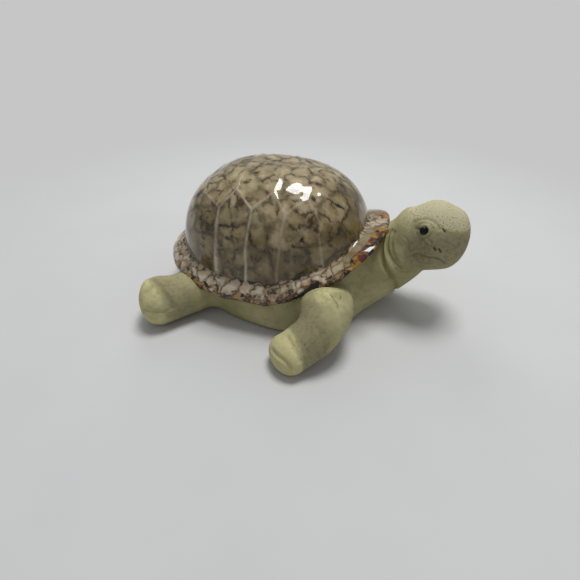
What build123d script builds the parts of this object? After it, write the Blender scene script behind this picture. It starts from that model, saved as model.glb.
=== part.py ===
"""Tortoise figurine: a glazed shell set on a matt clay body with head, legs and tail.

Millimetres. +X points to the nose, +Y to the animal's left and +Z up. The origin is on the flat belly,
straight below the middle of the shell. Every clay piece is cut to its neighbour's outer form, so that
the pieces seat face to face as luted clay does.
"""

import math
import os

from build123d import *

# Shell dome: its level sections are superellipses, and so is its profile.
dome_half_length = 62.0
dome_half_width = 50.0
dome_rise = 57.5
dome_waist = 31.0
shell_plan_power = 2.4
dome_profile_power = 2.5
shell_wall = 4.0

# Shell rim: a flared collar that sweeps up over the neck and a little over the tail.
rim_half_length = 72.5
rim_half_width = 57.5
rim_height = 19.5
rim_front_rise = 34.0
rim_front_start = 8.0
rim_front_power = 1.3
rim_rear_rise = 8.0
rim_rear_start = 22.0
rim_rear_power = 1.5
rim_band = 11.5
rim_front_band = 2.8
rim_bulge = 2.2
rim_nose = 2.8
rim_tuck = 1.6
rim_root = 2.4

# Raised welts where the shell's plates meet.
welt_height = 0.9
welt_width = 2.2
flank_seam_angle = 47.0
crown_seam_angle = 59.0

# Clay body: a hollow tray with a flat belly and a vent for the kiln.
body_half_length = 66.0
body_half_width = 53.5
body_plan_power = 2.2
body_top = 62.0
body_edge = 3.0
body_wall = 4.5
belly_thickness = 4.5
vent_radius = 6.0
vent_behind = 24.0

# Head and neck.
nose_reach = 120.0
head_height = 52.0
head_half_width = 20.7
head_half_depth = 22.3
snout_radius = 7.0
eye_radius = 2.3
eye_depth = 3.0
eye_stand = 0.8
eye_rounding = 1.2
eye_ahead = 92.5
eye_out = 16.2
eye_height = 62.2
eye_tilt = 31.0
eye_clearance = 0.05

# Folds round the neck.
fold_depth = 1.1

# Front legs: an elbow out beside the shell and a foot that reaches sideways.
front_elbow_ahead = 46.5
front_reach = 87.0
front_toe_radius = 6.0
front_elbow_height = 25.0
front_half_width = 16.0

# Rear legs: a blunt foot turned out and back.
rear_behind = 70.0
rear_reach = 69.0
rear_toe_radius = 8.0
rear_height = 15.2
rear_half_width = 17.0

# Tail.
tail_behind = 79.0
tail_height = 13.0
tail_half_width = 8.0
tail_tip_radius = 2.0

ring_points = 24
rim_stations = 24
limb_steps = 2
overrun = 6.0

# Heights of the dome's level sections, as shares of its rise.
dome_climb_shares = [0, 0.22, 0.44, 0.62, 0.76, 0.87, 0.94, 0.98, 0.996]

# The body's level sections: height, inset of the outline and how far the outline widens to the front,
# as shares of body_top, body_edge and one.
body_level_shares = [
    (0, 1.0, 0.25),
    (0.05, 0, 0.25),
    (0.16, 0, 0.17),
    (0.33, 0, 0.05),
    (0.65, 0.4, 0),
    (1.0, 1.2, 0),
]

# Places along the animal where the joint between shell and body is drawn, as shares of the rim's half length.
joint_shares = [-1.4, -1.1, -0.9, -0.7, -0.5, -0.25, 0.0, 0.15, 0.3, 0.45, 0.6, 0.8, 1.0, 1.25]

# Where the plate seams cross the shell, as shares of the dome's half length.
flank_seam_shares = [-0.38, -0.055, 0.26, 0.57]
crown_seam_shares = [-0.62, -0.235, 0.12, 0.44]

# Neck and head: ahead, height, half width and half depth, as shares of nose_reach, head_height,
# head_half_width and head_half_depth.
head_shares = [
    (0.435, 0.47, 1.62, 1.56),
    (0.508, 0.51, 1.38, 1.30),
    (0.583, 0.58, 1.14, 1.07),
    (0.658, 0.70, 0.975, 0.90),
    (0.733, 0.88, 0.845, 0.82),
    (0.808, 0.99, 1.0, 1.0),
    (0.883, 1.0, 0.90, 0.91),
    (0.946, 0.97, 0.765, 0.77),
    (1.0, 0.96, 0.60, 0.62),
]

# Front leg: ahead, out, height, half width and half depth, as shares of front_elbow_ahead, front_reach,
# front_elbow_height, front_half_width and front_half_width.
front_leg_shares = [
    (0.80, 0.25, 0.84, 1.0, 0.78),
    (0.87, 0.39, 0.86, 1.0, 0.78),
    (0.95, 0.545, 0.90, 1.0, 0.79),
    (1.0, 0.69, 0.93, 0.92, 0.86),
    (0.925, 0.80, 0.68, 0.81, 0.78),
    (0.775, 0.87, 0.46, 0.81, 0.72),
    (0.635, 0.93, 0.32, 0.85, 0.66),
    (0.495, 1.0, 0.27, 0.74, 0.60),
]

# Rear leg: behind, out, height, half width and half depth, as shares of rear_behind, rear_reach,
# rear_height, rear_half_width and rear_half_width.
rear_leg_shares = [
    (0.507, 0.43, 1.0, 1.0, 0.88),
    (0.634, 0.62, 0.86, 0.94, 0.80),
    (0.746, 0.77, 0.85, 0.87, 0.80),
    (0.845, 0.87, 0.875, 0.94, 0.88),
    (0.93, 0.95, 0.844, 0.88, 0.84),
    (1.0, 1.0, 0.81, 0.73, 0.71),
]

# Where folds ring the neck, as shares of the way through the sections of the head's table.
neck_fold_shares = [0.3125, 0.36, 0.4075]

# Tail: behind, height, half width and half depth, as shares of tail_behind, tail_height,
# tail_half_width and tail_half_width.
tail_shares = [
    (0.72, 1.2, 1.2, 1.1),
    (0.81, 1.08, 1.0, 0.95),
    (0.91, 0.85, 0.72, 0.68),
    (1.0, 0.52, 0.4, 0.38),
]


def plan_radius(angle, half_length, half_width, power):
    """Distance from the upright axis to a superellipse, in the direction of an angle in radians."""
    along = abs(math.cos(angle)) / half_length
    across = abs(math.sin(angle)) / half_width
    return (along**power + across**power) ** (-1 / power)


def ring(height, half_length, half_width, power, widening=0):
    """Level superellipse face, which may widen to the front by a share of its width."""
    points = []
    for step in range(ring_points):
        angle = 2 * math.pi * step / ring_points
        radius = plan_radius(angle, half_length, half_width, power)
        x, y = radius * math.cos(angle), radius * math.sin(angle)
        points.append((x, y * (1 + widening * x / half_length)))
    with BuildSketch(Plane.XY.offset(height)) as outline:
        with BuildLine():
            Spline(*points, periodic=True)
        make_face()
    return outline.sketch.faces()[0]


def dome_share(height, rise):
    """Share of its full width that a dome has at a height above its waist."""
    climb = max(0.0, min(1.0, height / rise))
    return (1 - climb**dome_profile_power) ** (1 / dome_profile_power)


def dome_sections(growth):
    """Level faces of the dome from the ground to its crown, with every side grown by a length."""
    half_length = dome_half_length + growth
    half_width = dome_half_width + growth
    rise = dome_rise + growth
    sections = [ring(0, half_length, half_width, shell_plan_power)]
    for climb in dome_climb_shares:
        share = dome_share(climb * rise, rise)
        height = dome_waist + climb * rise
        sections.append(ring(height, half_length * share, half_width * share, shell_plan_power))
    return sections + [Vertex(0, 0, dome_waist + rise)]


def body_sections(inset, floor):
    """Level faces of the clay body, drawn in by an inset and cut off below a floor."""
    sections = []
    for level, edge, widening in body_level_shares:
        height = max(level * body_top, floor)
        narrowing = inset + edge * body_edge
        half_length = body_half_length - narrowing
        half_width = body_half_width - narrowing
        if not sections or height > floor:
            sections.append(ring(height, half_length, half_width, body_plan_power, widening))
    return sections


def joint_height(x):
    """Height of the joint under the shell's rim, which depends only on the place along the animal."""
    ahead = max(0.0, (x - rim_front_start) / (rim_half_length - rim_front_start))
    behind = max(0.0, (-x - rim_rear_start) / (rim_half_length - rim_rear_start))
    return rim_height + rim_front_rise * ahead**rim_front_power + rim_rear_rise * behind**rim_rear_power


def rim_section(angle):
    """Face of the rim in the upright plane through the axis at an angle in radians."""
    edge = plan_radius(angle, rim_half_length, rim_half_width, shell_plan_power)
    edge_height = joint_height(edge * math.cos(angle))
    ahead = max(0.0, math.cos(angle))
    band = rim_band + (rim_front_band - rim_band) * ahead**2
    crease_height = edge_height + band
    wall = plan_radius(angle, dome_half_length, dome_half_width, shell_plan_power)
    crease = wall * dome_share(crease_height - dome_waist, dome_rise)
    root = crease - rim_root
    bulge = rim_bulge * band / rim_band
    middle_out = (crease + edge + bulge) / 2
    middle_height = edge_height + (band + rim_nose + bulge) / 2
    outward = (math.cos(angle), math.sin(angle), 0)
    sideways = (math.sin(angle), -math.cos(angle), 0)
    with BuildSketch(Plane(origin=(0, 0, 0), x_dir=outward, z_dir=sideways)) as section:
        with BuildLine():
            skin = Spline(
                (root, crease_height + rim_root),
                (crease, crease_height),
                (middle_out, middle_height),
                (edge, edge_height + rim_nose),
                (edge - rim_tuck, edge_height - rim_tuck / 4),
            )
            under = Line(skin @ 1, (root, edge_height - overrun))
            Line(under @ 1, skin @ 0)
        make_face()
    return section.sketch.faces()[0]


def between(rows, place):
    """Row of values at a fractional place in a table, on a smooth curve through its rows."""
    first = min(int(place), len(rows) - 2)
    part = place - first
    before, start, end, after = (rows[max(0, min(first + step, len(rows) - 1))] for step in (-1, 0, 1, 2))
    values = []
    for p0, p1, p2, p3 in zip(before, start, end, after):
        bend = (2 * p0 - 5 * p1 + 4 * p2 - p3) * part**2 + (3 * p1 - p0 - 3 * p2 + p3) * part**3
        values.append(p1 + ((p2 - p0) * part + bend) / 2)
    return values


def limb_sections(rows):
    """Elliptical faces across a limb, from a table of x, y, z, half width and half depth."""
    count = (len(rows) - 1) * limb_steps
    stations = [between(rows, step / limb_steps) for step in range(count + 1)]
    sections = []
    for step, (x, y, z, half_width, half_depth) in enumerate(stations):
        before = Vector(*stations[max(step - 1, 0)][:3])
        after = Vector(*stations[min(step + 1, len(stations) - 1)][:3])
        forward = (after - before).normalized()
        plane = Plane(origin=(x, y, z), x_dir=forward.cross(Vector(0, 0, 1)), z_dir=forward)
        with BuildSketch(plane) as section:
            Ellipse(half_width, half_depth)
        sections.append(section.sketch.faces()[0])
    return sections


def fold_ring(rows, share):
    """Ring that presses a round fold into a limb, at a share of the way through its table."""
    place = share * (len(rows) - 1)
    x, y, z, half_width, half_depth = between(rows, place)
    before, after = (Vector(*between(rows, place + step / limb_steps)[:3]) for step in (-1, 1))
    with BuildPart(Plane(origin=(x, y, z), z_dir=after - before)) as fold:
        Torus((half_width + half_depth) / 2, fold_depth)
    return fold.part


def eye_plane(side):
    """Plane across an eye's socket, facing out of the head on the left (1) or the right (-1)."""
    tilt = math.radians(eye_tilt)
    return Plane(
        origin=(eye_ahead, side * eye_out, eye_height),
        x_dir=(1, 0, 0),
        z_dir=(0, side * math.cos(tilt), math.sin(tilt)),
    )


def seam_point(x, angle):
    """Point outside the shell over a seam, at a place along the animal and an angle up from the side."""
    slope = math.radians(angle)
    far = dome_half_width + dome_rise
    return Vector(x, -far * math.cos(slope), dome_waist + far * math.sin(slope))


def seam_slab(start, end):
    """Thin slab from the shell's long axis out through two seam points."""
    centre = Vector((start.X + end.X) / 2, 0, dome_waist)
    across = (start - centre).cross(end - centre)
    plane = Plane(origin=centre, x_dir=start - centre, z_dir=across)
    with BuildPart() as slab:
        with BuildSketch(plane):
            with BuildLine():
                Polyline(
                    *[plane.to_local_coords(point) for point in (centre, start, end)],
                    close=True,
                )
            make_face()
        extrude(amount=welt_width / 2, both=True)
    return slab.part


os.makedirs("parts", exist_ok=True)

# Working forms: the shell filled in, the body filled in, and everything below their joint.
with BuildPart() as below_joint:
    joint_points = [(share * rim_half_length, joint_height(share * rim_half_length)) for share in joint_shares]
    with BuildSketch(Plane.XZ):
        with BuildLine():
            joint_line = Spline(*joint_points)
            drop = Line(joint_line @ 1, (joint_points[-1][0], -overrun))
            base = Line(drop @ 1, (joint_points[0][0], -overrun))
            Line(base @ 1, joint_line @ 0)
        make_face()
    extrude(amount=rim_half_width + overrun, both=True)

with BuildPart() as dome_form:
    loft(sections=dome_sections(0))

with BuildPart() as shell_core:
    loft(sections=dome_sections(-shell_wall))

with BuildPart() as shell_form:
    loft(sections=[rim_section(math.pi * step / rim_stations) for step in range(rim_stations + 1)])
    mirror(about=Plane.XZ)
    add(dome_form.part)
    add(below_joint.part, mode=Mode.SUBTRACT)

with BuildPart() as body_form:
    loft(sections=body_sections(0, 0))

with BuildPart() as body_core:
    loft(sections=body_sections(body_wall, belly_thickness))

# Carapace.
with BuildPart() as welts:
    for flank, crown in zip(flank_seam_shares, crown_seam_shares):
        flank_point = seam_point(flank * dome_half_length, flank_seam_angle)
        crown_point = seam_point(crown * dome_half_length, crown_seam_angle)
        add(seam_slab(crown_point, flank_point))
        add(seam_slab(flank_point, seam_point(flank * dome_half_length, 0)))
        add(seam_slab(crown_point, seam_point(crown * dome_half_length, 90)))
    for flank, crown in zip(flank_seam_shares, crown_seam_shares[1:]):
        flank_point = seam_point(flank * dome_half_length, flank_seam_angle)
        crown_point = seam_point(crown * dome_half_length, crown_seam_angle)
        add(seam_slab(flank_point, crown_point))
    mirror(about=Plane.XZ)

with BuildPart() as carapace:
    loft(sections=dome_sections(welt_height))
    add(welts.part, mode=Mode.INTERSECT)
    add(below_joint.part, mode=Mode.SUBTRACT)
    add(shell_form.part)
    add(shell_core.part, mode=Mode.SUBTRACT)
carapace.part.label = "carapace"
export_step(carapace.part, "parts/carapace.step")

# Body.
with BuildPart() as body:
    add(body_form.part)
    add(below_joint.part, mode=Mode.INTERSECT)
    add(body_core.part, mode=Mode.SUBTRACT)
    with Locations((-vent_behind, 0, 0)):
        Cylinder(vent_radius, belly_thickness + overrun, mode=Mode.SUBTRACT)
body.part.label = "body"
export_step(body.part, "parts/body.step")


def limb_form(rows, tip_radius):
    """Whole limb lofted along its table, with a rounded tip."""
    sections = limb_sections(rows)
    with BuildPart() as limb:
        loft(sections=sections)
        fillet(limb.edges().sort_by_distance(sections[-1].center())[0], radius=tip_radius)
    return limb.part


def luted(form, neighbours):
    """Limb seated on the forms beside it, with a flat sole."""
    with BuildPart() as limb:
        add(form)
        for neighbour in neighbours:
            add(neighbour, mode=Mode.SUBTRACT)
        split(bisect_by=Plane.XY, keep=Keep.TOP)
    return limb.part.solids().sort_by(SortBy.VOLUME)[-1]


# Head and neck.
head_stations = [
    (
        ahead * nose_reach,
        0,
        height * head_height,
        width * head_half_width,
        depth * head_half_depth,
    )
    for ahead, height, width, depth in head_shares
]
head_form = limb_form(head_stations, snout_radius)
neck_folds = [fold_ring(head_stations, share) for share in neck_fold_shares]
with BuildPart() as head_and_neck:
    add(luted(head_form, [body_form.part, shell_form.part, *neck_folds]))
    for side in (-1, 1):
        with Locations(eye_plane(side).offset(-eye_depth - eye_clearance)):
            Cylinder(
                eye_radius + eye_clearance,
                eye_depth + overrun,
                align=(Align.CENTER, Align.CENTER, Align.MIN),
                mode=Mode.SUBTRACT,
            )
head_and_neck.part.label = "head_and_neck"
export_step(head_and_neck.part, "parts/head_and_neck.step")

# Eyes.
for side, name in ((-1, "right_eye"), (1, "left_eye")):
    with BuildPart(eye_plane(side).offset(-eye_depth)) as eye:
        Cylinder(eye_radius, eye_depth + eye_stand, align=(Align.CENTER, Align.CENTER, Align.MIN))
        fillet(eye.edges().sort_by_distance(eye_plane(side).offset(eye_stand).origin)[0], radius=eye_rounding)
    eye.part.label = name
    export_step(eye.part, f"parts/{name}.step")

# Legs.
front_stations = [
    (
        ahead * front_elbow_ahead,
        -out * front_reach,
        height * front_elbow_height,
        width * front_half_width,
        depth * front_half_width,
    )
    for ahead, out, height, width, depth in front_leg_shares
]
rear_stations = [
    (
        -behind * rear_behind,
        -out * rear_reach,
        height * rear_height,
        width * rear_half_width,
        depth * rear_half_width,
    )
    for behind, out, height, width, depth in rear_leg_shares
]
for name, stations, toe_radius in (
    ("front", front_stations, front_toe_radius),
    ("rear", rear_stations, rear_toe_radius),
):
    with BuildPart() as right_leg:
        add(luted(limb_form(stations, toe_radius), [body_form.part, shell_form.part]))
    right_leg.part.label = f"{name}_right_leg"
    export_step(right_leg.part, f"parts/{name}_right_leg.step")
    with BuildPart() as left_leg:
        add(right_leg.part)
        mirror(about=Plane.XZ, mode=Mode.REPLACE)
    left_leg.part.label = f"{name}_left_leg"
    export_step(left_leg.part, f"parts/{name}_left_leg.step")

# Tail.
tail_stations = [
    (
        -behind * tail_behind,
        0,
        height * tail_height,
        width * tail_half_width,
        depth * tail_half_width,
    )
    for behind, height, width, depth in tail_shares
]
with BuildPart() as tail:
    add(luted(limb_form(tail_stations, tail_tip_radius), [body_form.part, shell_form.part]))
tail.part.label = "tail"
export_step(tail.part, "parts/tail.step")
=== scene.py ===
"""Tortoise figurine with a glazed shell and a matt clay body, dressed for its portrait.

Shapes are worked out in millimetres and become meshes in metres. +X points to the nose, +Y to the
animal's left and +Z up. The clay pieces are level sets of one smooth field, so that their seams close.
"""

import math

import bpy
import numpy as np
from mathutils import Matrix, Vector


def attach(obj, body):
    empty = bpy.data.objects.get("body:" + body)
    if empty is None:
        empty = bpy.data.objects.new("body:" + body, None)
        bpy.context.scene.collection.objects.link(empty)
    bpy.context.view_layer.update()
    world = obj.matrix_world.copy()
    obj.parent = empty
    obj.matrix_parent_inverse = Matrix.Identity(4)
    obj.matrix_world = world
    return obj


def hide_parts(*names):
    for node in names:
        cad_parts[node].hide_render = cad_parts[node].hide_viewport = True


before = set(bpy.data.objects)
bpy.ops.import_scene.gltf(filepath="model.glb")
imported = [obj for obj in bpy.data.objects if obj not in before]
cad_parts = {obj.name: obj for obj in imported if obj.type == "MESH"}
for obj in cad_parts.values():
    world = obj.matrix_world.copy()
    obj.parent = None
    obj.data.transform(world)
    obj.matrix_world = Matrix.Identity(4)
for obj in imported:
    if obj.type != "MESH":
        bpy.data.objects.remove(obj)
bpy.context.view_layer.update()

METRES = 0.001
TURN = 2 * math.pi

# Camera, fitted to the photograph's outline: its side and focal length in pixels
photo_side = 580
photo_focal = 430
sensor_width = 36
camera_place = np.array([79.6, -248.6, 177.0])
camera_yaw = math.radians(16)
camera_pitch = math.radians(35.43)

# Driving dimensions, as in the solid parts
dome_half_length, dome_half_width, dome_rise, dome_waist = 62.0, 50.0, 57.5, 31.0
shell_plan_power, dome_profile_power, shell_wall = 2.4, 2.5, 4.0
rim_half_length, rim_half_width, rim_height = 72.5, 57.5, 19.5
rim_front_rise, rim_front_start, rim_front_power = 34.0, 8.0, 1.3
rim_rear_rise, rim_rear_start, rim_rear_power = 8.0, 22.0, 1.5
rim_band, rim_front_band, rim_bulge, rim_nose, rim_tuck = 11.5, 2.8, 2.2, 2.8, 1.6
body_half_length, body_half_width, body_plan_power = 66.0, 53.5, 2.2
body_top, body_edge, body_wall, belly_thickness = 62.0, 3.0, 4.5, 4.5
vent_radius, vent_behind = 6.0, 24.0
eye_place, eye_tilt, eye_radius = (92.5, 16.2, 62.2), math.radians(31), 2.3

# Body's levels: share of its height, share of the rounded edge and share that the front widens
body_levels = [
    (0, 1.0, 0.25),
    (0.05, 0, 0.25),
    (0.16, 0, 0.17),
    (0.33, 0, 0.05),
    (0.65, 0.4, 0),
    (1.0, 1.2, 0),
]

# Limbs: x, y, z, half width and half depth
head_rows = [
    (52.2, 0, 24.4, 33.5, 34.8),
    (61.0, 0, 26.5, 28.6, 29.0),
    (70.0, 0, 30.2, 23.6, 23.9),
    (79.0, 0, 36.4, 20.2, 20.1),
    (88.0, 0, 45.8, 17.5, 18.3),
    (97.0, 0, 51.9, 20.7, 21.2),
    (106.0, 0, 51.2, 18.6, 20.3),
    (113.5, 0, 50.5, 15.9, 17.6),
    (120.0, 0, 49.9, 12.6, 14.4),
]
# The skull starts inside the neck, which it meets at an angle under the chin, and shares one row with it.
skull_row = (86.0, 0, 51.8, 15.5, 16.2)
skull_from = 5
front_rows = [
    (37.2, -21.8, 21.0, 16.0, 12.5),
    (40.5, -33.9, 21.5, 16.0, 12.5),
    (44.2, -47.4, 22.5, 16.0, 12.6),
    (46.5, -60.0, 23.3, 14.7, 13.8),
    (43.0, -69.6, 17.0, 13.0, 12.5),
    (36.0, -75.7, 11.5, 13.0, 11.5),
    (29.5, -80.9, 8.0, 13.6, 10.6),
    (23.0, -87.0, 6.8, 11.8, 9.6),
]
rear_rows = [
    (-35.5, -29.7, 15.2, 17.0, 15.0),
    (-44.4, -42.8, 13.1, 16.0, 13.6),
    (-52.2, -53.1, 12.9, 14.8, 13.6),
    (-59.2, -60.0, 13.3, 16.0, 15.0),
    (-65.1, -65.6, 12.8, 15.0, 14.3),
    (-70.0, -69.0, 12.3, 12.4, 12.1),
]
tail_rows = [
    (-56.9, 0, 15.6, 9.6, 8.8),
    (-64.0, 0, 14.0, 8.0, 7.6),
    (-71.9, 0, 11.1, 5.8, 5.4),
    (-79.0, 0, 6.8, 3.2, 3.0),
]

# How long the rounded tips are, and over what reach each limb melts into the clay before it
neck_tip, head_tip, front_tip, rear_tip, tail_tip = 10.0, 9.5, 9.0, 10.0, 3.0
skull_melt = 2.5
limb_melts = {
    "head_and_neck": 6,
    "front_right_leg": 4,
    "front_left_leg": 4,
    "rear_right_leg": 8,
    "rear_left_leg": 8,
    "tail": 5,
}

# Where the plate seams cross the shell, along the animal, low on the flank and high on the crown
flank_seams = [-23.6, -3.4, 16.1, 35.3]
crown_seams = [-38.4, -14.6, 7.4, 27.3]
flank_slope, crown_slope = math.radians(47), math.radians(59)
seam_top, seam_foot = math.radians(90), math.radians(-14)

# Welts along those seams, from the rear: half width, height and paleness of the upper branches and of the
# stem at its foot, how far ahead each stem runs on its way down, and the same marks at the very top
welt_branches = [(0.6, 0.35, 0.55), (0.6, 0.40, 0.75), (0.7, 0.25, 0.45), (0.7, 0.20, 0.35)]
welt_stems = [(1.7, 0.75, 0.85), (0.9, 0.65, 0.90), (0.8, 0.25, 0.30), (0.7, 0.30, 0.45)]
welt_drifts = [-1.5, -2.2, -3.0, 9.0]
welt_crown = (0.6, 0.15, 0.10)


# Camera
def camera_axes():
    """Right, down and forward unit vectors of the camera."""
    flat = np.array([-math.sin(camera_yaw), math.cos(camera_yaw), 0])
    forward = flat * math.cos(camera_pitch) - np.array([0, 0, math.sin(camera_pitch)])
    right = np.array([math.cos(camera_yaw), math.sin(camera_yaw), 0])
    return right, np.cross(forward, right), forward


cam_right, cam_down, cam_forward = camera_axes()


def camera_ray(u, v):
    """Unit direction from the camera through a pixel of the photograph."""
    middle = photo_side / 2
    ray = cam_forward + cam_right * (u - middle) / photo_focal + cam_down * (v - middle) / photo_focal
    return ray / np.linalg.norm(ray)


def place_camera():
    data = bpy.data.cameras.new("camera")
    data.sensor_width = sensor_width
    data.lens = sensor_width * photo_focal / photo_side
    camera = bpy.data.objects.new("camera", data)
    turn = Matrix((cam_right, -cam_down, -cam_forward)).transposed().to_4x4()
    camera.matrix_world = Matrix.Translation(camera_place * METRES) @ turn
    bpy.context.scene.collection.objects.link(camera)
    bpy.context.scene.camera = camera


# Helpers for shapes
def smooth_rows(rows, steps):
    """Rows of numbers resampled on a smooth curve through them."""
    rows = np.array(rows, float)
    padded = np.vstack([rows[:1], rows, rows[-1:]])
    made = []
    for p0, p1, p2, p3 in zip(padded, padded[1:], padded[2:], padded[3:]):
        for t in np.arange(steps) / steps:
            bend = (2 * p0 - 5 * p1 + 4 * p2 - p3) * t**2 + (3 * p1 - p0 - 3 * p2 + p3) * t**3
            made.append(p1 + ((p2 - p0) * t + bend) / 2)
    return np.array(made + [rows[-1]])


def smooth_min(a, b, reach):
    """Lower of two fields, melted together over a reach."""
    share = np.clip(0.5 + 0.5 * (b - a) / reach, 0, 1)
    return b * (1 - share) + a * share - reach * share * (1 - share)


def fade(value, start, end):
    """0 before start, 1 after end, smooth between."""
    share = np.clip((value - start) / (end - start), 0, 1)
    return share * share * (3 - 2 * share)


def bell(value, width):
    """1 where the value is 0, falling smoothly to a third at a width from there."""
    return np.exp(-((value / width) ** 2))


lattice_side, lattice_seed = 32, 11
lattice = np.random.default_rng(lattice_seed).random((lattice_side,) * 3) * 2 - 1


def waver(points, size, shift=0):
    """Smooth noise from -1 to 1 with lumps of about a size; a shift gives another noise."""
    place = (points + shift) / size
    base = np.floor(place)
    part = place - base
    part = part * part * (3 - 2 * part)
    index = base.astype(int)
    total = np.zeros(len(points))
    for corner in np.ndindex(2, 2, 2):
        weight = np.abs(1 - np.array(corner) - part).prod(1)
        i, j, k = ((index + corner) % lattice_side).T
        total += weight * lattice[i, j, k]
    return total


def line_distance(points, line, reach):
    """Distance from points to a polyline, exact within a reach and larger than it elsewhere."""
    found = np.full(len(points), 4.0 * reach)
    low, high = line.min(0) - reach, line.max(0) + reach
    near = np.flatnonzero(np.all((points > low) & (points < high), axis=1))
    if len(near):
        close = points[near]
        best = np.full(len(near), 16.0 * reach * reach)
        for a, b in zip(line, line[1:]):
            along = b - a
            share = np.clip((close - a) @ along / (along @ along + 1e-9), 0, 1)
            off = close - a - share[:, None] * along
            best = np.minimum(best, np.einsum("ij,ij->i", off, off))
        found[near] = np.sqrt(best)
    return found


# Shell's form
shell_rows, shell_columns = 152, 540
dome_steps, lip_steps, softenings = 60, 8, 3
crease_margin = 0.5
# The lip hangs lower over the shoulders: how much, at which angle and over which angle.
lip_dip, lip_dip_at, lip_dip_reach = 2.2, math.radians(38), math.radians(12)
# Hand-made waves of the lip: size, number around and phase
lip_waves = [(0.55, 9, 0.7), (0.35, 17, 2.1), (0.3, 26, 0.0)]
# How far the lip stands in, how far a wave pushes it out and down, and the share of that left in front
lip_inset, lip_wave_out, lip_wave_down, lip_wave_calm = 0.35, 0.3, 0.35, 0.4


def plan_radius(angle, half_length, half_width):
    """Radius of the shell's plan at an angle."""
    along = np.abs(np.cos(angle)) / half_length
    across = np.abs(np.sin(angle)) / half_width
    return (along**shell_plan_power + across**shell_plan_power) ** (-1 / shell_plan_power)


def joint_height(x):
    """Height of the joint under the shell's rim."""
    ahead = np.maximum(0, (x - rim_front_start) / (rim_half_length - rim_front_start))
    behind = np.maximum(0, (-x - rim_rear_start) / (rim_half_length - rim_rear_start))
    return rim_height + rim_front_rise * ahead**rim_front_power + rim_rear_rise * behind**rim_rear_power


def dome_share(height):
    """Share of its widest plan that the dome keeps at a height above its waist."""
    climb = np.clip(height / dome_rise, 0, 1)
    return (1 - climb**dome_profile_power) ** (1 / dome_profile_power)


def from_front(angle):
    """How far an angle lies from the front, either way."""
    return np.abs((angle + math.pi) % TURN - math.pi)


def dome_line(wall, crease, crease_height):
    """Distance out and height of the dome at one angle, from the crown down to the crease."""
    climb = np.cos(np.linspace(0, math.pi / 2, dome_steps)[:-1]) ** (2 / dome_profile_power)
    heights = dome_waist + dome_rise * climb
    line = np.column_stack([wall * dome_share(heights - dome_waist), heights])
    return np.vstack([line[line[:, 1] > crease_height + crease_margin], (crease, crease_height)])


def shell_profile(angle):
    """Outline of the skin at one angle, from crown to toe: distance out, height and drop below the crease."""
    wavy = sum(size * math.sin(waves * angle + phase) for size, waves, phase in lip_waves)
    edge = plan_radius(angle, rim_half_length, rim_half_width) - lip_inset + lip_wave_out * wavy
    dip = lip_dip * math.exp(-(((from_front(angle) - lip_dip_at) / lip_dip_reach) ** 2))
    toe = joint_height(edge * math.cos(angle)) - dip
    ahead = max(0.0, math.cos(angle))
    band = rim_band + (rim_front_band - rim_band) * ahead**2
    bulge = rim_bulge * band / rim_band
    sag = lip_wave_down * wavy * (lip_wave_calm + (1 - lip_wave_calm) * (1 - ahead))
    wall = plan_radius(angle, dome_half_length, dome_half_width)
    crease_height = toe + band
    crease = wall * dome_share(crease_height - dome_waist)
    dome = dome_line(wall, crease, crease_height)
    lip_points = [
        (crease, crease_height),
        ((crease + edge + bulge) / 2, toe + (band + rim_nose + bulge) / 2),
        (edge, toe + rim_nose),
        (edge - 0.4 * rim_tuck, toe + 0.3 * rim_nose),
        (edge - rim_tuck, toe - rim_tuck / 4 - sag),
    ]
    line = np.vstack([dome, smooth_rows(lip_points, lip_steps)[1:]])
    length = np.concatenate([[0], np.cumsum(np.hypot(*np.diff(line, axis=0).T))])
    spots = np.linspace(0, length[-1], shell_rows)
    soft = np.column_stack([np.interp(spots, length, line[:, 0]), np.interp(spots, length, line[:, 1])])
    for _ in range(softenings):
        soft[1:-1] = (soft[:-2] + 2 * soft[1:-1] + soft[2:]) / 4
    return soft, spots - length[len(dome) - 1]


shell_angles = TURN * np.arange(shell_columns) / shell_columns
shell_made = [shell_profile(angle) for angle in shell_angles]
shell_out = np.array([made[0][:, 0] for made in shell_made])
shell_up = np.array([made[0][:, 1] for made in shell_made])
shell_drop = np.array([made[1] for made in shell_made])
# Outer radius by angle and height, for what is cut to the shell
table_step, table_top = 0.5, 95
table_heights = np.arange(0, table_top, table_step)
shell_table = np.array(
    [np.interp(table_heights, up[::-1], out[::-1], right=0) for out, up in zip(shell_out, shell_up)]
)


def shell_field(points):
    """Rough distance to the shell's outer form, negative inside."""
    x, y, z = points.T
    angle = np.arctan2(y, x) % TURN
    column = np.minimum((angle / TURN * shell_columns).astype(int), shell_columns - 1)
    row = np.clip((z / table_step).astype(int), 0, len(table_heights) - 1)
    return np.maximum(np.hypot(x, y) - shell_table[column, row], joint_height(x) - z)


# Seams between the plates
seam_points = 13
seam_bend, seam_bend_size, seam_bend_shifts = 0.6, 9, (40, 90)
# Welts change this many times faster than their run, and swell and thin by a noise.
stem_hurry = 1.7
welt_swell, welt_swell_size, welt_swell_shift = 0.35, 6, 20
crown_spread = 1.02
welt_reach, welt_far = 9, 30.0


def on_dome(x, slope):
    """Point of the right side of the dome at a place along the animal, seen at a slope from its waist."""
    low, high = 0.0, 150.0
    for _ in range(40):
        far = (low + high) / 2
        y, z = -far * math.cos(slope), dome_waist + far * math.sin(slope)
        share = float(dome_share(max(0.0, z - dome_waist)))
        along, across = abs(x) / dome_half_length, abs(y) / dome_half_width
        level = (along**shell_plan_power + across**shell_plan_power) ** (1 / shell_plan_power)
        if level < share and z < dome_waist + dome_rise:
            low = far
        else:
            high = far
    return (x, -low * math.cos(slope), dome_waist + low * math.sin(slope))


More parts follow.
